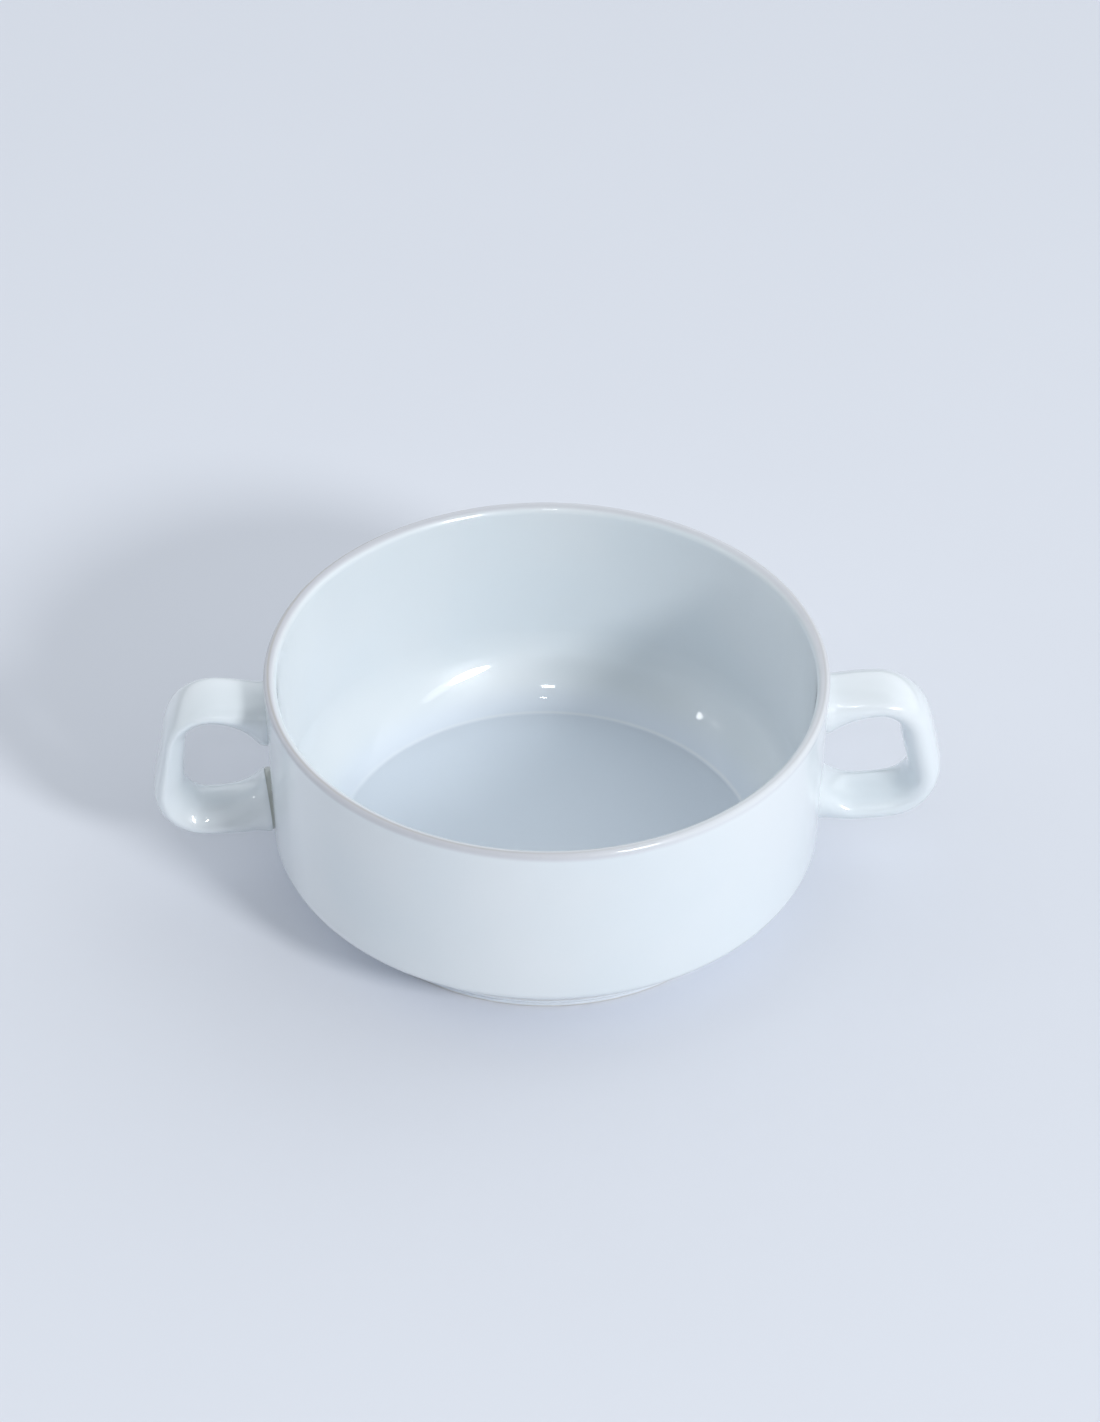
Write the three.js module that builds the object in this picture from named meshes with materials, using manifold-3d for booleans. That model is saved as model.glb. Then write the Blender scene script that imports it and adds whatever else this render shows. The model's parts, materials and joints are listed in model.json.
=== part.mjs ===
// A stacking consomme cup: a low porcelain cup with a recessed foot and two loop handles.
// Millimetres, +Z up. The origin is the centre of the foot on the table, and the handles lie on the X axis.

import * as THREE from 'three';
import { mergeVertices } from 'three/addons/utils/BufferGeometryUtils.js';
import Module from 'manifold-3d';

const wasm = await Module();
wasm.setup();

// Cup body
const rimRadius = 52; // outside of the lip
const rimHeight = 47; // top of the lip above the table
const lipRounding = 1.1;
const wallThickness = 2.6;
const wallTaper = 0.9; // how much less the wall's radius is at its lower edge than at the lip
const wallEdgeHeight = 12.4; // lower edge of the wall above the table, before it is rounded
const wallEdgeRounding = 2;

// Foot ring below the cone of the heel, narrow enough to stack inside the lip of another cup
const footInset = 11.1; // from the wall's lower edge in to the foot
const footHeight = 1;
const footWidth = 3.4;
const footDraft = 0.6; // inner face of the ring leans out by this much
const footRecess = 1.2; // hollow under the floor, inside the ring
const footRounding = 0.4;

// Inside floor: a flat disc, then a cove that leaves it at an angle and sweeps up into the wall
const floorThickness = 2.8;
const floorInset = 0.4; // edge of the disc, in from the foot's outside
const floorEdgeRounding = 2;
const coveAngle = 38; // degrees of rise at the edge of the disc
const coveRadius = 20;

// Loop handle: the middle line of the strap
const upperArmDrop = 6.7; // below the lip
const lowerArmLift = 3; // above the wall's lower edge
const upperReach = 15.6; // from the wall to the corner of the upper arm and the grip
const lowerReach = 20.8;
const bendRadius = 7;

// Section of the strap, a soft rectangle that swells at the grip
const strapWidth = 11.8;
const armThickness = 4.4;
const gripThickness = 4.8;
const strapSquareness = 2.9; // 2 is an ellipse, larger is squarer

// Flares where the arms meet the wall
const upperFlare = 4.6; // on the finger side of the upper arm
const lowerFlare = 3.2; // on the finger side of the lower arm
const outerFlare = 0.8; // on the outside of both arms
const sideFlare = 1.4;

// Luting slip between the handle's ends and the wall
const slipFilm = 0.6;
const slipClearance = 0.3; // on each face of the film

// Facets
const turnSteps = 96;
const arcDeviation = 0.04; // most that a facet of the body's profile leaves its arc
const handleSteps = 46;
const strapSides = 20;
const mergeTolerance = 0.0001; // points closer than this are one point

const upperArmHeight = rimHeight - upperArmDrop;
const lowerArmHeight = wallEdgeHeight + lowerArmLift;

const porcelain = { color: 0xe6eef4, roughness: 0.12, metalness: 0 };
const slip = { color: 0xd9dde0, roughness: 0.35, metalness: 0 };

// A path through corners given as [x, y, rounding]. Each rounded corner becomes an arc,
// which is limited to the straight that its neighbours leave it.
function roundedPath(corners) {
  const points = corners.map(([x, y]) => new THREE.Vector2(x, y));
  const path = new THREE.Path();
  path.moveTo(points[0].x, points[0].y);
  let used = 0;
  for (let i = 1; i < points.length - 1; i += 1) {
    const corner = points[i];
    const back = points[i - 1].clone().sub(corner);
    const ahead = points[i + 1].clone().sub(corner);
    const room = Math.min(back.length() - used, ahead.length());
    const halfAngle = back.angleTo(ahead) / 2;
    const cut = Math.min(corners[i][2] / Math.tan(halfAngle), room);
    const start = corner.clone().addScaledVector(back.normalize(), cut);
    const end = corner.clone().addScaledVector(ahead.normalize(), cut);
    const inward = back.clone().add(ahead).normalize();
    const centre = corner.clone().addScaledVector(inward, cut / Math.cos(halfAngle));
    const startAngle = start.clone().sub(centre).angle();
    const endAngle = end.clone().sub(centre).angle();
    const radius = cut * Math.tan(halfAngle);
    path.lineTo(start.x, start.y);
    path.absarc(centre.x, centre.y, radius, startAngle, endAngle, back.cross(ahead) > 0);
    used = cut;
  }
  const last = points[points.length - 1];
  path.lineTo(last.x, last.y);
  return path;
}

// The corners of a path's lines and just enough points on its arcs.
function profilePoints(path) {
  const points = [];
  for (const curve of path.curves) {
    const isArc = curve instanceof THREE.EllipseCurve;
    const step = isArc ? 2 * Math.acos(1 - arcDeviation / curve.xRadius) : 1;
    const steps = isArc ? Math.ceil(curve.getLength() / curve.xRadius / step) : 1;
    points.push(...curve.getPoints(steps).slice(points.length ? 1 : 0));
  }
  return points;
}

// Turns a profile of Vector2 (radius, height) about the Z axis.
function turn(profile) {
  const geometry = new THREE.LatheGeometry(profile, turnSteps);
  geometry.rotateX(Math.PI / 2);
  return geometry;
}

// A closed skin over rings of Vector3, each with the same number of points, with flat ends.
function loft(rings) {
  const sides = rings[0].length;
  const vertices = rings.flat().flatMap((point) => point.toArray());
  const faces = [];
  for (let i = 0; i < rings.length - 1; i += 1) {
    for (let j = 0; j < sides; j += 1) {
      const next = (j + 1) % sides;
      const a = i * sides + j;
      const b = i * sides + next;
      const c = (i + 1) * sides + next;
      const d = (i + 1) * sides + j;
      faces.push(a, b, c, a, c, d);
    }
  }
  const lastRing = (rings.length - 1) * sides;
  for (let j = 1; j < sides - 1; j += 1) {
    faces.push(0, j + 1, j);
    faces.push(lastRing, lastRing + j, lastRing + j + 1);
  }
  const geometry = new THREE.BufferGeometry();
  geometry.setAttribute('position', new THREE.Float32BufferAttribute(vertices, 3));
  geometry.setIndex(faces);
  return geometry;
}

function toSolid(geometry) {
  const plain = geometry.clone();
  plain.deleteAttribute('normal');
  plain.deleteAttribute('uv');
  const merged = mergeVertices(plain, mergeTolerance);
  const index = merged.index.array;
  const faces = [];
  for (let i = 0; i < index.length; i += 3) {
    const [a, b, c] = [index[i], index[i + 1], index[i + 2]];
    if (a !== b && b !== c && c !== a) {
      faces.push(a, b, c);
    }
  }
  const vertProperties = Float32Array.from(merged.attributes.position.array);
  const triVerts = Uint32Array.from(faces);
  return new wasm.Manifold(new wasm.Mesh({ numProp: 3, vertProperties, triVerts }));
}

function toGeometry(solid) {
  const mesh = solid.getMesh();
  const geometry = new THREE.BufferGeometry();
  geometry.setAttribute('position', new THREE.BufferAttribute(mesh.vertProperties, 3));
  geometry.setIndex(new THREE.BufferAttribute(mesh.triVerts, 1));
  geometry.computeVertexNormals();
  return geometry;
}

function piece(name, geometry, finish) {
  const mesh = new THREE.Mesh(geometry, new THREE.MeshStandardMaterial(finish));
  mesh.name = name;
  return mesh;
}

// Outside radius of the wall at a height, along its straight taper.
function wallRadius(height) {
  const share = (rimHeight - height) / (rimHeight - wallEdgeHeight);
  return rimRadius - wallTaper * share;
}

function makeBody() {
  const wallEdgeRadius = wallRadius(wallEdgeHeight);
  const footRadius = wallEdgeRadius - footInset;
  const footInside = footRadius - footWidth;
  const floorHeight = footRecess + floorThickness;
  const floorRadius = footRadius - floorInset;
  const coveFoot = wallRadius(floorHeight) - wallThickness;
  const coveRise = (coveFoot - floorRadius) * Math.tan(THREE.MathUtils.degToRad(coveAngle));
  const profile = roundedPath([
    [0, footRecess],
    [footInside - footDraft, footRecess, footRounding],
    [footInside, 0, footRounding],
    [footRadius, 0, footRounding],
    [footRadius, footHeight, footRounding],
    [wallEdgeRadius, wallEdgeHeight, wallEdgeRounding],
    [rimRadius, rimHeight, lipRounding],
    [rimRadius - wallThickness, rimHeight, lipRounding],
    [coveFoot, floorHeight + coveRise, coveRadius],
    [floorRadius, floorHeight, floorEdgeRounding],
    [0, floorHeight],
  ]);
  return turn(profilePoints(profile));
}

// How far a quarter-round flare stands out at a distance from the wall.
function flare(radius, distance) {
  const rest = THREE.MathUtils.clamp(radius - distance, 0, radius);
  return radius - Math.sqrt(radius * radius - rest * rest);
}

// One strap section: a soft rectangle about the middle line, deeper on the finger side at the roots.
function strapRing(path, share) {
  const middle = path.getPointAt(share);
  const ahead = path.getTangentAt(share);
  const outward = new THREE.Vector2(-ahead.y, ahead.x);
  const distance = middle.x - wallRadius(middle.y);
  const isUpper = share < 0.5;
  const swell = Math.sin(Math.PI * share) ** 2;
  const halfThickness = THREE.MathUtils.lerp(armThickness, gripThickness, swell) / 2;
  const fingerSide = halfThickness + flare(isUpper ? upperFlare : lowerFlare, distance);
  const outerSide = halfThickness + flare(outerFlare, distance);
  const halfWidth = strapWidth / 2 + flare(sideFlare, distance);
  const soften = (value) => Math.sign(value) * Math.abs(value) ** (2 / strapSquareness);
  const ring = [];
  for (let j = 0; j < strapSides; j += 1) {
    const angle = (-2 * Math.PI * (j + 0.5)) / strapSides;
    const across = soften(Math.cos(angle));
    const depth = across * (across > 0 ? outerSide : fingerSide);
    const side = halfWidth * soften(Math.sin(angle));
    ring.push(new THREE.Vector3(middle.x + outward.x * depth, side, middle.y + outward.y * depth));
  }
  return ring;
}

// The strap's loop, running a wall's thickness into the body before it is trimmed.
function makeLoop() {
  const upperRoot = wallRadius(upperArmHeight);
  const lowerRoot = wallRadius(lowerArmHeight);
  const path = roundedPath([
    [upperRoot - wallThickness, upperArmHeight],
    [upperRoot + upperReach, upperArmHeight, bendRadius],
    [lowerRoot + lowerReach, lowerArmHeight, bendRadius],
    [lowerRoot - wallThickness, lowerArmHeight],
  ]);
  const rings = [];
  for (let i = 0; i <= handleSteps; i += 1) {
    rings.push(strapRing(path, i / handleSteps));
  }
  return loft(rings);
}

// A ring that follows the wall's outside between two heights and two distances from it.
function wallBand(low, high, near, far) {
  return turn([
    new THREE.Vector2(wallRadius(low) + near, low),
    new THREE.Vector2(wallRadius(low) + far, low),
    new THREE.Vector2(wallRadius(high) + far, high),
    new THREE.Vector2(wallRadius(high) + near, high),
    new THREE.Vector2(wallRadius(low) + near, low),
  ]);
}

// The loop is trimmed to stand clear of the wall, and the film of slip is cut from its ends.
const filmStart = slipClearance;
const filmEnd = filmStart + slipFilm;
const handleStart = filmEnd + slipClearance;
const trimDepth = 2 * wallThickness; // past the loop's ends
const midHeight = (upperArmHeight + lowerArmHeight) / 2;
const loop = toSolid(makeLoop());
const wallAndFilm = toSolid(wallBand(0, rimHeight, -trimDepth, handleStart));
const upperFilm = toSolid(wallBand(midHeight, rimHeight, filmStart, filmEnd));
const lowerFilm = toSolid(wallBand(0, midHeight, filmStart, filmEnd));
const handle = toGeometry(loop.subtract(wallAndFilm));
const upperSlip = toGeometry(loop.intersect(upperFilm));
const lowerSlip = toGeometry(loop.intersect(lowerFilm));

const cup = new THREE.Group();
cup.add(piece('cup_body', makeBody(), porcelain));
for (const [side, angle] of [['right', 0], ['left', Math.PI]]) {
  const group = new THREE.Group();
  group.rotation.z = angle;
  group.add(piece(`${side}_handle`, handle.clone(), porcelain));
  group.add(piece(`${side}_upper_slip_joint`, upperSlip.clone(), slip));
  group.add(piece(`${side}_lower_slip_joint`, lowerSlip.clone(), slip));
  cup.add(group);
}

export default cup;
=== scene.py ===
import json
from math import atan2, cos, pi, radians, sin, tan

import bmesh
import bpy
from mathutils import Matrix, Vector

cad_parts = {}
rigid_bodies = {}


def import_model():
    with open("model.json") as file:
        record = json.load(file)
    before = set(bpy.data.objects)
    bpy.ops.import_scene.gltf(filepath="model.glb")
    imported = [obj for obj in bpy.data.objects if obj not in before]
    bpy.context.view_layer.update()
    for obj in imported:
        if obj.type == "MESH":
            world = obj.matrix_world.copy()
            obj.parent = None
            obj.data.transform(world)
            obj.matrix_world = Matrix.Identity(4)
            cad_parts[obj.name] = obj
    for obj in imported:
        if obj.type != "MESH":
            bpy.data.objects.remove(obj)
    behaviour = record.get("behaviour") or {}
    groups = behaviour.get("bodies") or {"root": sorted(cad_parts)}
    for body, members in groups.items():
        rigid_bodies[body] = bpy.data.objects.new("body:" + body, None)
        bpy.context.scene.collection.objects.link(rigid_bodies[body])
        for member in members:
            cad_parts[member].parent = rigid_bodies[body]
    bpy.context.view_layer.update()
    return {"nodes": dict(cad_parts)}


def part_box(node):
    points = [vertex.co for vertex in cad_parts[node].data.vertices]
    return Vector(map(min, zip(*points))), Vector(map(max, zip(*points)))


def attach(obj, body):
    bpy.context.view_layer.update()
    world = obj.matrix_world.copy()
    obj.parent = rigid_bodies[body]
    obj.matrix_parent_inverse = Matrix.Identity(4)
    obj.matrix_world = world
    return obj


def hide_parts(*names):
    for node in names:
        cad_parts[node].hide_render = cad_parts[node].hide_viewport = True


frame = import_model()
mm = 0.001
tiny = 0.001 * mm  # points closer than this are one point
origin = (0, 0, 0)
print("frame loaded:", sorted(frame["nodes"]))


def pick(item):
    bpy.ops.object.select_all(action='DESELECT')
    item.select_set(True)
    bpy.context.view_layer.objects.active = item


def startEdit(item):
    pick(item)
    bpy.ops.object.mode_set(mode='EDIT')
    bpy.context.tool_settings.mesh_select_mode = (True, False, False)


def endEdit():
    bpy.ops.object.mode_set(mode='OBJECT')


def startSquare(name, size):  # in edit mode, selected all over
    bpy.ops.object.select_all(action='DESELECT')
    bpy.ops.mesh.primitive_plane_add(size=size)
    item = bpy.context.object
    item.name = item.data.name = name
    startEdit(item)
    bpy.ops.mesh.select_all(action='SELECT')
    return item


def selectVerts(item, wanted):  # wanted(co) says which vertices
    mesh = bmesh.from_edit_mesh(item.data)
    for vert in mesh.verts:
        vert.select = wanted(vert.co)
    mesh.select_flush_mode()
    bmesh.update_edit_mesh(item.data)


def selectEdges(item, wanted):  # wanted(length) says which edges
    bpy.context.tool_settings.mesh_select_mode = (False, True, False)
    mesh = bmesh.from_edit_mesh(item.data)
    for edge in mesh.edges:
        edge.select = wanted(edge.calc_length())
    mesh.select_flush_mode()
    bmesh.update_edit_mesh(item.data)


def closeSkin():  # one skin with no doubles, facing out
    bpy.ops.mesh.select_all(action='SELECT')
    bpy.ops.mesh.remove_doubles(threshold=tiny)
    bpy.ops.mesh.normals_make_consistent(inside=False)


def drawProfile(name, corners):  # corners are radius, height, rounding and facets, in mm
    points = [Vector((corner[0], 0, corner[1])) * mm for corner in corners]
    item = startSquare(name, mm)
    bpy.ops.mesh.merge(type='CENTER')  # one vertex to draw with
    bpy.ops.transform.translate(value=points[0])
    for here, there in zip(points, points[1:]):
        bpy.ops.mesh.extrude_vertices_move(TRANSFORM_OT_translate={"value": there - here})
    for i, corner in enumerate(corners):
        rounding, facets = corner[2:]
        if rounding:
            back = (points[i - 1] - points[i]).normalized()
            ahead = (points[i + 1] - points[i]).normalized()
            cut = rounding * mm / tan(back.angle(ahead) / 2)
            selectVerts(item, lambda co: (co - points[i]).length < tiny)
            bpy.ops.mesh.bevel(offset=cut, segments=facets, profile=0.5, affect='VERTICES')
    return item


def spinProfile(steps):
    bpy.ops.mesh.select_all(action='SELECT')
    bpy.ops.mesh.spin(steps=steps, angle=2 * pi, center=origin, axis=(0, 0, 1))
    closeSkin()


def applyModifier(item, kind, **values):
    pick(item)
    bpy.ops.object.modifier_add(type=kind)
    modifier = item.modifiers[-1]
    for key, value in values.items():
        setattr(modifier, key, value)
    bpy.ops.object.modifier_apply(modifier=modifier.name)


def smooth(item, angle):
    pick(item)
    bpy.ops.object.shade_smooth_by_angle(angle=radians(angle))


# The cup's body: its profile is drawn from the axis under the floor, out round the foot,
# up the wall, over the lip and back down inside to the middle of the floor.

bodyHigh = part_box("cup_body")[1]
cupShape = {  # in mm, each rounding with its facets
    "rimRadius": 52,
    "rimHeight": bodyHigh.z / mm,
    "lipOutside": (0.85, 10),
    "lipInside": (1.5, 12),
    "wallThickness": 2.4,
    "wallTaper": 0.9,  # how much narrower the wall is at its lower edge
    "edgeHeight": 12.4,
    "edgeRounding": (2, 8),
    "footRadius": 40,
    "footInside": 36.6,
    "footLean": 0.6,  # the foot's inside closes in by this under the floor
    "footHeight": 1,
    "footRecess": 1.2,
    "footRounding": (0.45, 4),
    "floorRadius": 39.6,
    "floorHeight": 4,
    "floorRounding": (1, 8),
    "coveLow": (44.6, 7.98),  # the cove climbs from the floor through two corners with
    "coveLowRounding": (26.5, 20),  # large roundings, which meet in one curve
    "coveHigh": (48.58, 15.47),
    "coveHighRounding": (12, 12),
    "turnSteps": 256,
    "longestEdge": 2.2,  # wall and floor are divided down to this
    "warp": 0.12,  # soft unevenness of the fired wall
    "warpSpread": 38,
    "smoothAngle": 50,
}


def wallRadius(height):
    share = (cupShape["rimHeight"] - height) / (cupShape["rimHeight"] - cupShape["edgeHeight"])
    return cupShape["rimRadius"] - cupShape["wallTaper"] * share


def divideLongEdges(item, longest):
    mesh = bmesh.from_edit_mesh(item.data)
    lengths = sorted({round(edge.calc_length(), 7) for edge in mesh.edges})
    for length in lengths:
        if length > longest * mm:
            selectEdges(item, lambda size: abs(size - length) < tiny)
            bpy.ops.mesh.subdivide(number_cuts=int(length / (longest * mm)))


def makeBody():
    s = cupShape
    edgeRadius = wallRadius(s["edgeHeight"])
    item = drawProfile("cupBody", [
        (0, s["footRecess"], 0, 0),
        (s["footInside"] - s["footLean"], s["footRecess"], *s["footRounding"]),
        (s["footInside"], 0, *s["footRounding"]),
        (s["footRadius"], 0, *s["footRounding"]),
        (s["footRadius"], s["footHeight"], *s["footRounding"]),
        (edgeRadius, s["edgeHeight"], *s["edgeRounding"]),
        (s["rimRadius"], s["rimHeight"], *s["lipOutside"]),
        (s["rimRadius"] - s["wallThickness"], s["rimHeight"], *s["lipInside"]),
        (*s["coveHigh"], *s["coveHighRounding"]),
        (*s["coveLow"], *s["coveLowRounding"]),
        (s["floorRadius"], s["floorHeight"], *s["floorRounding"]),
        (0, s["floorHeight"], 0, 0),
    ])
    divideLongEdges(item, s["longestEdge"])
    spinProfile(s["turnSteps"])
    endEdit()
    clouds = bpy.data.textures.new("kilnWarp", 'CLOUDS')
    clouds.noise_scale = s["warpSpread"] * mm
    clouds.noise_depth = 0
    applyModifier(item, 'DISPLACE', texture=clouds, texture_coords='LOCAL', direction='X',
                  strength=s["warp"] * mm, mid_level=0.5)
    smooth(item, s["smoothAngle"])
    return item


cupBody = makeBody()
print("body:", len(cupBody.data.polygons), "faces")


# The handles: a soft rectangle is carried round each loop, then trimmed to the wall.

leftLoop = {  # in mm
    "side": "left",
    "turn": pi,
    "upperRoot": 40.15,  # the strap's middle line at the wall and at its corners
    "upperCorner": (67.6, 41.5),
    "lowerCorner": (71.5, 15.9),
    "lowerRoot": 15.4,
    "bends": (7.4, 7.2),
    "width": 12.2,
    "edgeCuts": (0.5, 1.15),  # what is cut off the section's corners, outer and finger side
    "edgeStretch": 2,  # how much more of that lies across the thickness than the width
    "armThickness": 4.5,
    "gripThickness": 4.6,
    "fingerMore": 1.3,  # more on the finger side of the arms, whose edges are rounder
    "bendAt": 0.65,  # the lower bend is thicker: where along the strap, how far to each side,
    "bendReach": 0.2,
    "bendMore": (0.6, 1.25),  # and by how much on its outer and finger sides
    "upperFlare": (11, 5.2),  # length and rise of the fillet on the finger side of each root
    "lowerFlare": (13, 5.9),
    "outerFlare": (2, 0.2),
    "sideFlare": (2.4, 0.3),
    "upperFilm": 0.6,  # thickness of the slip at each root
    "lowerFilm": 1.4,
    "lowerSkew": 5.8,  # the lower seat's centre lies back, so its film thickens to the rear
    "lowerRecess": 0.3,  # how far the lower film lies back from the strap's sides
}
rightLoop = {
    "side": "right",
    "turn": 0,
    "upperRoot": 40.5,
    "upperCorner": (67.2, 39.7),
    "lowerCorner": (72.5, 16.3),
    "lowerRoot": 14.1,
    "bends": (7.8, 7.6),
    "width": 12,
    "edgeCuts": (0.57, 0.57),
    "edgeStretch": 1,
    "armThickness": 4.5,
    "gripThickness": 6.4,
    "fingerMore": 0,
    "bendAt": 0.65,
    "bendReach": 0.2,
    "bendMore": (0, 0),
    "upperFlare": (14, 5.6),
    "lowerFlare": (9.5, 6.5),
    "outerFlare": (2, 0.1),
    "sideFlare": (2.4, 0.3),
    "upperFilm": 0.6,
    "lowerFilm": 0.6,
    "lowerSkew": 0,
    "lowerRecess": 0,
}
strapShape = {
    "section": 2.04,  # a square of this size, its corners cut, is 2 across once subdivided
    "rootSteps": (-2.6, -1.3, -0.3, 0.3, 0.9, 1.6, 2.6, 3.8, 5.4, 7.4),  # out from the wall
    "bendSteps": 7,
    "gripSteps": 5,
    "flareCurve": 3,
    "wallSag": 0.4,  # the round wall falls back this much at the strap's sides
    "levels": 3,
    "seatDepth": 0.05,  # the slip sits this far into the wall, so no light shows behind it
    "cutDepth": 6,  # how far the rings that trim the roots reach into the wall
    "cutReach": 4,  # and out of it, round a skewed film
    "smoothAngle": 40,
}
rootDepth = -strapShape["rootSteps"][0]


def flare(size, distance):  # size is length and rise: how much a side opens towards the wall
    length, rise = size
    rest = 1 - min(max(distance, 0), length) / length
    return rise * rest ** strapShape["flareCurve"]


def along(angle):
    return Vector((cos(angle), sin(angle)))


def outOf(angle):  # towards the outer side of a strap that runs at this angle
    return Vector((-sin(angle), cos(angle)))


def loopCorners(loop):
    return [
        Vector((wallRadius(loop["upperRoot"]) - rootDepth, loop["upperRoot"])),
        Vector(loop["upperCorner"]),
        Vector(loop["lowerCorner"]),
        Vector((wallRadius(loop["lowerRoot"]) - rootDepth, loop["lowerRoot"])),
    ]


def loopLine(loop):  # points of the middle line with the angle it runs at
    steps, bendSteps, gripSteps = (strapShape[key] for key in ("rootSteps", "bendSteps", "gripSteps"))
    corners = loopCorners(loop)
    upper = atan2(*reversed(corners[1] - corners[0]))
    grip = atan2(*reversed(corners[2] - corners[1]))
    lower = atan2(*reversed(corners[2] - corners[3])) - pi
    angles = (upper, grip, lower)
    arcs = []
    for i, radius in enumerate(loop["bends"]):
        turn = angles[i + 1] - angles[i]
        start = corners[i + 1] - radius * tan(abs(turn) / 2) * along(angles[i])
        centre = start - radius * outOf(angles[i])
        turned = [angles[i] + turn * k / bendSteps for k in range(bendSteps + 1)]
        arcs.append([(centre + radius * outOf(angle), angle) for angle in turned])
    gripTop, gripFoot = arcs[0][-1][0], arcs[1][0][0]
    line = [(corners[0] + (step + rootDepth) * along(upper), upper) for step in steps]
    line += arcs[0]
    line += [(gripTop.lerp(gripFoot, k / gripSteps), grip) for k in range(1, gripSteps)]
    line += arcs[1]
    line += [(corners[3] - (step + rootDepth) * along(lower), lower) for step in reversed(steps)]
    return line


def strapStations(loop, inset=0):  # middle, angle, width and thickness of each section
    line = loopLine(loop)
    stations = []
    for i, (middle, angle) in enumerate(line):
        share = i / (len(line) - 1)
        root = "upper" if share < 0.5 else "lower"
        distance = middle.x - wallRadius(middle.y) - loop[root + "Film"]
        swell = sin(pi * share) ** 2
        half = (loop["armThickness"] * (1 - swell) + loop["gripThickness"] * swell) / 2
        bend = cos(pi / 2 * min(1, abs(share - loop["bendAt"]) / loop["bendReach"])) ** 2
        outerMore, fingerMore = (more * bend for more in loop["bendMore"])
        fingerMore += loop["fingerMore"] * (1 - swell)
        fingerSide = half + flare(loop[root + "Flare"], distance) + fingerMore - inset
        outerSide = half + flare(loop["outerFlare"], distance) + outerMore - inset
        opening = flare(loop["sideFlare"], distance + strapShape["wallSag"])
        width = loop["width"] + 2 * opening - 2 * inset
        middle = middle + (outerSide - fingerSide) / 2 * outOf(angle)
        place = Vector((middle.x, 0, middle.y)) * mm
        stations.append((place, angle, width * mm, (outerSide + fingerSide) * mm))
    return stations


def turnSection(angle, centre):
    bpy.ops.transform.rotate(value=angle, orient_axis='Y', center_override=centre)


def sizeSection(across, through, centre):
    bpy.ops.transform.resize(value=(1, across, through), center_override=centre)


def makeLoop(name, loop, inset=0):
    stations = strapStations(loop, inset)
    middle, angle, width, thickness = stations[0]
    item = startSquare(name, strapShape["section"])
    turnSection(pi / 2, origin)  # the square stands across the strap
    sizeSection(loop["edgeStretch"], 1, origin)
    for side, cut in zip((1, -1), loop["edgeCuts"]):
        selectVerts(item, lambda co: side * co.z > 0)
        bpy.ops.mesh.bevel(offset=cut, segments=1, affect='VERTICES')
    bpy.ops.mesh.select_all(action='SELECT')
    sizeSection(width / 2 / loop["edgeStretch"], thickness / 2, origin)
    turnSection(angle, origin)
    bpy.ops.transform.translate(value=middle)
    for there in stations[1:]:
        bpy.ops.mesh.extrude_region_move(TRANSFORM_OT_translate={"value": there[0] - middle})
        turnSection(-angle, there[0])
        sizeSection(there[2] / width, there[3] / thickness, there[0])
        turnSection(there[1], there[0])
        middle, angle, width, thickness = there
    closeSkin()
    bpy.ops.transform.rotate(value=loop["turn"], orient_axis='Z', center_override=origin)
    endEdit()
    levels = strapShape["levels"]
    applyModifier(item, 'SUBSURF', levels=levels, render_levels=levels)
    return item


def makeBand(name, low, high, near, far, skew=0):  # a ring along the wall, to trim with
    item = drawProfile(name, [
        (wallRadius(low) + near, low, 0, 0),
        (wallRadius(low) + far, low, 0, 0),
        (wallRadius(high) + far, high, 0, 0),
        (wallRadius(high) + near, high, 0, 0),
        (wallRadius(low) + near, low, 0, 0),
    ])
    spinProfile(cupShape["turnSteps"])
    bpy.ops.transform.translate(value=(0, skew * mm, 0))
    endEdit()
    return item


def trim(item, band, operation):
    applyModifier(item, 'BOOLEAN', operation=operation, object=band, solver='EXACT')
    bpy.data.objects.remove(band)
    startEdit(item)
    closeSkin()
    endEdit()
    smooth(item, strapShape["smoothAngle"])


def copyOf(item, name):
    copied = item.copy()
    copied.data = item.data.copy()
    copied.name = copied.data.name = name
    bpy.context.scene.collection.objects.link(copied)
    return copied


def makeHandle(loop):
    side = loop["side"]
    top = cupShape["rimHeight"]
    middle = (loop["upperRoot"] + loop["lowerRoot"]) / 2
    inWall, bedded, reach = -strapShape["cutDepth"], -strapShape["seatDepth"], strapShape["cutReach"]
    upperFilm, lowerFilm, skew = loop["upperFilm"], loop["lowerFilm"], loop["lowerSkew"]
    handle = makeLoop(side + "Handle", loop)
    upper = copyOf(handle, side + "UpperSlip")
    if loop["lowerRecess"]:
        lower = makeLoop(side + "LowerSlip", loop, loop["lowerRecess"])
    else:
        lower = copyOf(handle, side + "LowerSlip")
    trim(handle, makeBand("upperSeat", middle, top, inWall, upperFilm), 'DIFFERENCE')
    trim(handle, makeBand("lowerSeat", 0, middle, inWall, lowerFilm, skew), 'DIFFERENCE')
    trim(upper, makeBand("upperFilm", middle, top, bedded, upperFilm), 'INTERSECT')
    trim(lower, makeBand("lowerWall", 0, middle, bedded, reach), 'INTERSECT')
    trim(lower, makeBand("lowerFilm", 0, middle, inWall, lowerFilm, skew), 'INTERSECT')
    return handle, upper, lower


handles = {loop["side"]: makeHandle(loop) for loop in (leftLoop, rightLoop)}
for side, items in handles.items():
    print(side, "handle and slip:", [len(item.data.polygons) for item in items], "faces")


# The finishes: one glaze for all pieces, and what the body and the stained slip add to it; the body's
# part also holds a painted highlight and painted shade.

nodeSpacing = (220, 180)


def addNode(tree, kind, **values):
    node = tree.nodes.new(kind)
    for key, value in values.items():
        setattr(node, key, value)
    return node


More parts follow.
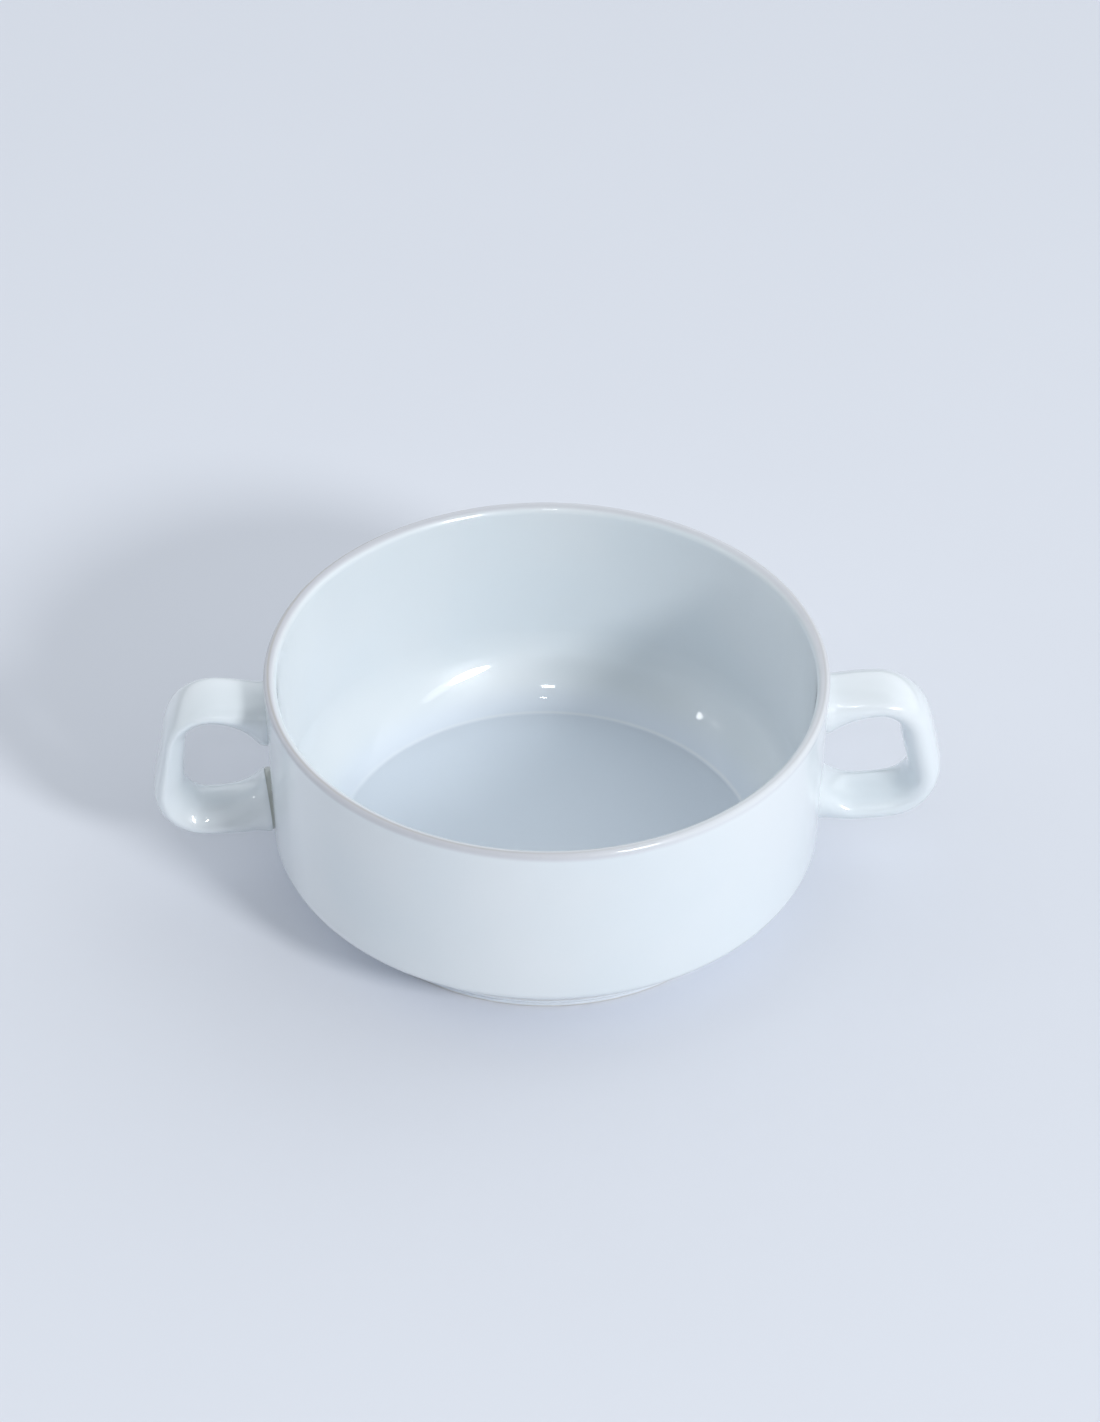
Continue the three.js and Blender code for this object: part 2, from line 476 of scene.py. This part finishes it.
def feed(tree, socket, value):  # a link, or a number or colour of its own
    if isinstance(value, bpy.types.NodeSocket):
        tree.links.new(value, socket)
    else:
        socket.default_value = value


def mixColours(tree, share, one, two):
    mix = addNode(tree, 'ShaderNodeMix', data_type='RGBA')
    feed(tree, mix.inputs[0], share)
    feed(tree, mix.inputs[6], one)
    feed(tree, mix.inputs[7], two)
    return mix.outputs[2]


def softStep(tree, value, start, end):  # 0 at start, 1 at end
    step = addNode(tree, 'ShaderNodeMapRange', interpolation_type='SMOOTHSTEP')
    feed(tree, step.inputs["Value"], value)
    feed(tree, step.inputs["From Min"], start)
    feed(tree, step.inputs["From Max"], end)
    return step.outputs["Result"]


def softBand(tree, value, edges):  # the same between two places in mm
    return softStep(tree, value, edges[0] * mm, edges[1] * mm)


def maths(tree, operation, one, two=0.0):
    node = addNode(tree, 'ShaderNodeMath', operation=operation)
    feed(tree, node.inputs[0], one)
    feed(tree, node.inputs[1], two)
    return node.outputs[0]


def times(tree, one, two):
    return maths(tree, 'MULTIPLY', one, two)


def noise(tree, coords, scale, detail):
    node = addNode(tree, 'ShaderNodeTexNoise')
    feed(tree, node.inputs["Scale"], scale)
    feed(tree, node.inputs["Detail"], detail)
    feed(tree, node.inputs["Vector"], coords)
    return node.outputs[0]


def splitPlace(tree, coords):
    place = addNode(tree, 'ShaderNodeSeparateXYZ')
    feed(tree, place.inputs[0], coords)
    return place.outputs


def softLine(tree, value, at, width, within, share):  # where value passes at, in mm
    offset = maths(tree, 'ABSOLUTE', maths(tree, 'SUBTRACT', value, at * mm))
    near = softBand(tree, offset, (width, 0))
    return times(tree, times(tree, near, within), share)


def layOut(tree):  # a column for each step away from the output
    column = {node.name: 0 for node in tree.nodes}
    for node in tree.nodes:
        for link in tree.links:
            near, far = link.to_node.name, link.from_node.name
            column[far] = max(column[far], column[near] + 1)
    rows = {}
    for node in tree.nodes:
        across = column[node.name]
        rows[across] = rows.get(across, 0) + 1
        node.location = (-nodeSpacing[0] * across, -nodeSpacing[1] * rows[across])


porcelain = {
    "colour": (0.758, 0.8, 0.827, 1),
    "cooler": (0.728, 0.785, 0.82, 1),  # thicker glaze
    "patchScale": 28,  # scales are in waves or cells to the metre
    "patchDetail": 2,
    "patchEdges": (0.35, 0.7),
    "speck": (0.33, 0.32, 0.29, 1),
    "speckScale": 150,
    "speckCells": (0.93, 0.99),  # few cells hold a speck
    "speckSize": 0.05,
    "speckShare": 0.5,
    "roughness": (0.28, 0.36),
    "roughScale": 84,
    "bodyGloss": 0.25,  # the gloss is nearly all in the glaze
    "coatRoughness": 0.03,
    "coatIor": 1.5,
    "rippleScale": 42,
    "rippleDetail": 1,
    "peelScale": 900,
    "peel": 0.03,
    "bump": 0.08,
    "bumpDepth": 0.25 * mm,
}


def makeGlaze(name, finish=None):  # finish adds what one piece has of its own
    p = porcelain
    material = bpy.data.materials.new(name)
    material.use_nodes = True
    tree = material.node_tree
    shader = tree.nodes["Principled BSDF"]
    shader.inputs["Specular IOR Level"].default_value = p["bodyGloss"]
    shader.inputs["Coat Weight"].default_value = 1
    shader.inputs["Coat Roughness"].default_value = p["coatRoughness"]
    shader.inputs["Coat IOR"].default_value = p["coatIor"]
    coords = addNode(tree, 'ShaderNodeTexCoord').outputs["Object"]
    clouds = noise(tree, coords, p["patchScale"], p["patchDetail"])
    patches = softStep(tree, clouds, *p["patchEdges"])
    colour = mixColours(tree, patches, p["colour"], p["cooler"])
    cells = addNode(tree, 'ShaderNodeTexVoronoi')
    feed(tree, cells.inputs["Scale"], p["speckScale"])
    feed(tree, cells.inputs["Vector"], coords)
    rare = softStep(tree, cells.outputs["Color"], *p["speckCells"])
    near = softStep(tree, cells.outputs["Distance"], p["speckSize"], 0)
    specks = times(tree, times(tree, rare, near), p["speckShare"])
    colour = mixColours(tree, specks, colour, p["speck"])
    feed(tree, shader.inputs["Base Color"], colour)
    dull = addNode(tree, 'ShaderNodeMapRange')
    dull.inputs["To Min"].default_value, dull.inputs["To Max"].default_value = p["roughness"]
    feed(tree, dull.inputs["Value"], noise(tree, coords, p["roughScale"], p["patchDetail"]))
    feed(tree, shader.inputs["Roughness"], dull.outputs["Result"])
    ripple = noise(tree, coords, p["rippleScale"], p["rippleDetail"])
    peel = times(tree, noise(tree, coords, p["peelScale"], p["rippleDetail"]), p["peel"])
    bump = addNode(tree, 'ShaderNodeBump')
    feed(tree, bump.inputs["Strength"], p["bump"])
    feed(tree, bump.inputs["Distance"], p["bumpDepth"])
    feed(tree, bump.inputs["Height"], maths(tree, 'ADD', ripple, peel))
    feed(tree, shader.inputs["Coat Normal"], bump.outputs["Normal"])
    feed(tree, shader.inputs["Normal"], bump.outputs["Normal"])
    if finish:
        finish(tree, coords, shader, colour)
    layOut(tree)
    return material


bodyFinish = {  # places in mm
    "leftSide": (20, -45),  # where the left side sets in, along x
    "frontSide": (10, -20),  # and the front, along y
    "lip": (0.62, 0.63, 0.665, 1),  # glaze runs thin here and the fired body shows warm
    # painted shade: the band's darker colour on the left side
    "lipLeftShade": (0.54, 0.546, 0.585, 1),
    "lipEdges": (45.8, 47),
    "lipOutwards": 0.5,  # the band reaches further down on the outside than on the inside
    "lipLift": 0.5,  # the band keeps off the outside at the front left
    "lipUneven": 0.5,
    "lipScale": 45,
    "lipDetail": 2,
    "lipFade": (100, 45),  # it fades towards the front right
    "crest": (0.44, 0.425, 0.41, 1),  # thinnest glaze, in a line round the crest of the lip
    "crestAt": 51.15,
    "crestLean": 0.013,  # the line wanders outwards at the back
    "crestUneven": 0.4,  # and follows this much of the band's unevenness
    "crestWidth": 0.4,
    "crestShare": 0.45,
    "crestRight": 0.9,  # its strength on the right, to which the left adds 1
    "ring": (0.83, 0.87, 0.9, 1),  # painted highlight: a lighter line round the floor's edge
    "ringAt": 39.9,
    "ringWidth": 0.4,
    "ringHighlightShare": 0.6,
    "ringHighlightRight": 1.2,  # the painted highlight's strength on the right, from which the left takes 1
    "pool": (0.722, 0.785, 0.856, 1),  # glaze gathers on the floor
    "poolEdges": (9.5, 4.5),
    "bare": (0.74, 0.72, 0.68, 1),  # the foot is wiped clean where it stands
    "bareEdges": (0.5, 0.25),
    "bareRoughness": 0.8,
}


def finishBody(tree, coords, shader, colour):
    b = bodyFinish
    x, y, z = splitPlace(tree, coords)
    flat = addNode(tree, 'ShaderNodeCombineXYZ')
    feed(tree, flat.inputs["X"], x)
    feed(tree, flat.inputs["Y"], y)
    reach = addNode(tree, 'ShaderNodeVectorMath', operation='LENGTH')
    feed(tree, reach.inputs[0], flat.outputs[0])
    radius = reach.outputs["Value"]
    leftSide = softBand(tree, x, b["leftSide"])
    frontLeft = times(tree, leftSide, softBand(tree, y, b["frontSide"]))
    # the floor, with pooled glaze and a painted highlight line round its edge
    pooled = softBand(tree, z, b["poolEdges"])
    colour = mixColours(tree, pooled, colour, b["pool"])
    # a painted highlight line round the floor's edge, fainter on the left
    ringHighlightSide = maths(tree, 'SUBTRACT', b["ringHighlightRight"], leftSide)
    ring = softLine(tree, radius, b["ringAt"], b["ringWidth"], ringHighlightSide, b["ringHighlightShare"])
    colour = mixColours(tree, times(tree, ring, pooled), colour, b["ring"])
    # the lip's band, painted darker on the left as shade
    uneven = times(tree, noise(tree, coords, b["lipScale"], b["lipDetail"]), b["lipUneven"] * mm)
    lift = times(tree, frontLeft, b["lipLift"] * mm)
    pastCrest = maths(tree, 'SUBTRACT', radius, b["crestAt"] * mm)
    outwards = times(tree, pastCrest, b["lipOutwards"])
    height = maths(tree, 'ADD', z, maths(tree, 'SUBTRACT', uneven, lift))
    height = maths(tree, 'ADD', height, outwards)
    lip = softBand(tree, height, b["lipEdges"])
    # the left side takes the darker colour as painted shade
    lipColour = mixColours(tree, leftSide, b["lip"], b["lipLeftShade"])
    unfaded = softBand(tree, maths(tree, 'SUBTRACT', x, y), b["lipFade"])
    colour = mixColours(tree, times(tree, lip, unfaded), colour, lipColour)
    # the line at its crest
    behind = times(tree, maths(tree, 'MAXIMUM', y, 0.0), b["crestLean"])
    wander = maths(tree, 'SUBTRACT', radius, behind)
    wander = maths(tree, 'ADD', wander, times(tree, uneven, b["crestUneven"]))
    crest = softLine(tree, wander, b["crestAt"], b["crestWidth"], unfaded, b["crestShare"])
    crest = times(tree, crest, lip)
    crest = times(tree, crest, maths(tree, 'ADD', leftSide, b["crestRight"]))
    colour = mixColours(tree, crest, colour, b["crest"])
    # the bare foot
    bare = softBand(tree, z, b["bareEdges"])
    colour = mixColours(tree, bare, colour, b["bare"])
    feed(tree, shader.inputs["Base Color"], colour)
    feed(tree, shader.inputs["Coat Weight"], maths(tree, 'SUBTRACT', 1.0, bare))
    dull = shader.inputs["Roughness"].links[0].from_socket
    rough = maths(tree, 'MAXIMUM', dull, times(tree, bare, b["bareRoughness"]))
    feed(tree, shader.inputs["Roughness"], rough)


stain = {
    "colour": (0.5, 0.52, 0.49, 1),
    "edges": (12, 17),  # heights between which it sets in
}


def finishStain(tree, coords, shader, colour):
    x, y, z = splitPlace(tree, coords)
    colour = mixColours(tree, softBand(tree, z, stain["edges"]), colour, stain["colour"])
    feed(tree, shader.inputs["Base Color"], colour)


bodyGlaze = makeGlaze("bodyGlaze", finishBody)
handleGlaze = makeGlaze("handleGlaze")
slipGlaze = makeGlaze("slipGlaze")
stainedSlip = makeGlaze("stainedSlip", finishStain)


def finishPiece(piece, node, material):
    piece.data.materials.clear()
    piece.data.materials.append(material)
    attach(piece, "root")
    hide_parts(node)


finishPiece(cupBody, "cup_body", bodyGlaze)
for side, (handle, upper, lower) in handles.items():
    finishPiece(handle, side + "_handle", handleGlaze)
    finishPiece(upper, side + "_upper_slip_joint", slipGlaze)
    lowerFinish = stainedSlip if side == "left" else slipGlaze
    finishPiece(lower, side + "_lower_slip_joint", lowerFinish)
print("finished pieces:", 1 + sum(len(items) for items in handles.values()))


# The table, the lamps, the studio round them and the camera.

tableLook = {
    "size": 6,
    "colour": (0.745, 0.765, 0.819, 1),
    "darker": (0.725, 0.745, 0.799, 1),
    "patchScale": 9,
    "patchDetail": 4,
    "roughness": 0.7,
    "gloss": 0,
}


def addTable():
    bpy.ops.object.select_all(action='DESELECT')
    bpy.ops.mesh.primitive_plane_add(size=tableLook["size"])
    table = bpy.context.object
    table.name = "table"
    paint = bpy.data.materials.new("tablePaint")
    paint.use_nodes = True
    tree = paint.node_tree
    shader = tree.nodes["Principled BSDF"]
    coords = addNode(tree, 'ShaderNodeTexCoord').outputs["Object"]
    patches = noise(tree, coords, tableLook["patchScale"], tableLook["patchDetail"])
    colour = mixColours(tree, patches, tableLook["colour"], tableLook["darker"])
    feed(tree, shader.inputs["Base Color"], colour)
    shader.inputs["Roughness"].default_value = tableLook["roughness"]
    shader.inputs["Specular IOR Level"].default_value = tableLook["gloss"]
    layOut(tree)
    table.data.materials.append(paint)


addTable()

lampTint = (0.955, 0.964, 0.975)
lampDistance = 3
lamps = {  # azimuth, elevation, roll, width, height, watts, if it lights, if it shows in the glaze
    "keyLamp": (-50.5, 29, 0, 0.6, 0.52, 47, True, False),
    "keyStreak": (-57.3, 28, 14, 0.95, 0.225, 62, False, True),
    "keyTail": (-43, 30.5, 10, 1.1, 0.25, 1.5, False, True),
    "topLamp": (-93.5, 43.5, 0, 0.275, 0.085, 2.5, True, True),
    "spareLamp": (-91, 51, 0, 0.125, 0.06, 0.6, True, True),
    "sideLamp": (-168, 26, 0, 0.15, 0.25, 1.2, True, True),
}


def direction(azimuth, elevation):
    a, e = radians(azimuth), radians(elevation)
    return Vector((cos(a) * cos(e), sin(a) * cos(e), sin(e)))


def rolled(angle):
    return Matrix.Rotation(radians(angle), 3, 'Z').to_quaternion()


def addLamp(name, azimuth, elevation, roll, width, height, watts, lights, shows):
    out = direction(azimuth, elevation)
    data = bpy.data.lights.new(name, 'AREA')
    data.shape = 'ELLIPSE'
    data.size, data.size_y = width, height
    data.energy = watts
    data.color = lampTint
    lamp = bpy.data.objects.new(name, data)
    lamp.location = out * lampDistance
    lamp.rotation_mode = 'QUATERNION'
    lamp.rotation_quaternion = out.to_track_quat('Z', 'Y') @ rolled(roll)
    lamp.visible_camera = False
    lamp.visible_diffuse = lights
    lamp.visible_glossy = shows
    bpy.context.scene.collection.objects.link(lamp)


for name, values in lamps.items():
    addLamp(name, *values)
print("lamps:", len(lamps))

studio = {
    "tint": (0.915, 0.962, 1.01, 1),
    "horizon": (0.4, 0.4, 0.4, 1),  # light below the walls
    "low": (1.15, 0.4, 0.05, 0.15, 1.1, 1.45, 1.4, 1.18, 1.32),  # light of the walls, round
    "high": (0.85, 0.66, 0.85, 0.6, 0.95, 1.3, 1.1, 0.68, 0.88),  # from azimuth -180 in equal steps
    "ceiling": (0.3, 0.3, 0.3, 1),
    "lowEdge": (5, 15),  # elevations between which each band sets in
    "highEdge": (30, 42),
    "ceilingEdge": (58, 70),
    "backdrop": (0.7, 0.75, 0.84, 1),  # what the camera sees past the table
}


def compass(tree, turn, strengths):
    ramp = addNode(tree, 'ShaderNodeValToRGB')
    stops = ramp.color_ramp.elements  # starts with one at each end
    count = len(strengths)
    for i in range(1, count):
        stops.new(i / count)
    for i, stop in enumerate(stops):
        stop.position = i / count
        stop.color = (strengths[i % count],) * 3 + (1,)
    feed(tree, ramp.inputs[0], turn)
    return ramp.outputs[0]


def lightStudio():
    world = bpy.data.worlds.new("studio")
    world.use_nodes = True
    tree = world.node_tree
    x, y, z = splitPlace(tree, addNode(tree, 'ShaderNodeTexCoord').outputs["Generated"])
    azimuth = maths(tree, 'ARCTAN2', y, x)
    turn = maths(tree, 'ADD', times(tree, azimuth, 0.5 / pi), 0.5)  # 0 to 1 round the compass
    bands = {
        "lowEdge": compass(tree, turn, studio["low"]),
        "highEdge": compass(tree, turn, studio["high"]),
        "ceilingEdge": studio["ceiling"],
    }
    light = studio["horizon"]
    for edge, band in bands.items():
        start, end = (sin(radians(angle)) for angle in studio[edge])
        light = mixColours(tree, softStep(tree, z, start, end), light, band)
    lit = tree.nodes["Background"]
    feed(tree, lit.inputs["Color"], studio["tint"])
    feed(tree, lit.inputs["Strength"], light)
    seen = addNode(tree, 'ShaderNodeBackground')
    feed(tree, seen.inputs["Color"], studio["backdrop"])
    path = addNode(tree, 'ShaderNodeLightPath')
    mix = addNode(tree, 'ShaderNodeMixShader')
    feed(tree, mix.inputs[0], path.outputs["Is Camera Ray"])
    feed(tree, mix.inputs[1], lit.outputs[0])
    feed(tree, mix.inputs[2], seen.outputs[0])
    feed(tree, tree.nodes["World Output"].inputs["Surface"], mix.outputs[0])
    layOut(tree)
    bpy.context.scene.world = world


lightStudio()
bpy.context.scene.view_settings.view_transform = 'Standard'

cameraSet = {
    "distance": 0.8,
    "target": Vector((0, 0, 0.025)),
    "azimuth": -92.7,  # as for the lamps: a little to the left of straight in front
    "elevation": 39.933,
    "roll": 0.429,
    "lens": 108.68,
    "sensor": 36,
    "aimUp": 0.009457,  # the picture's middle lies off the target by these
    "aimRight": 0.00064,
}


def addCamera():
    c = cameraSet
    back = direction(c["azimuth"], c["elevation"])
    right = direction(c["azimuth"] + 90, 0)
    up = back.cross(right)
    place = c["target"] + c["distance"] * back
    aim = c["target"] + c["aimUp"] * up + c["aimRight"] * right
    data = bpy.data.cameras.new("camera")
    data.sensor_width = c["sensor"]
    data.lens = c["lens"]
    camera = bpy.data.objects.new("camera", data)
    camera.location = place
    camera.rotation_mode = 'QUATERNION'
    camera.rotation_quaternion = (aim - place).to_track_quat('-Z', 'Y') @ rolled(c["roll"])
    bpy.context.scene.collection.objects.link(camera)
    bpy.context.scene.camera = camera


addCamera()
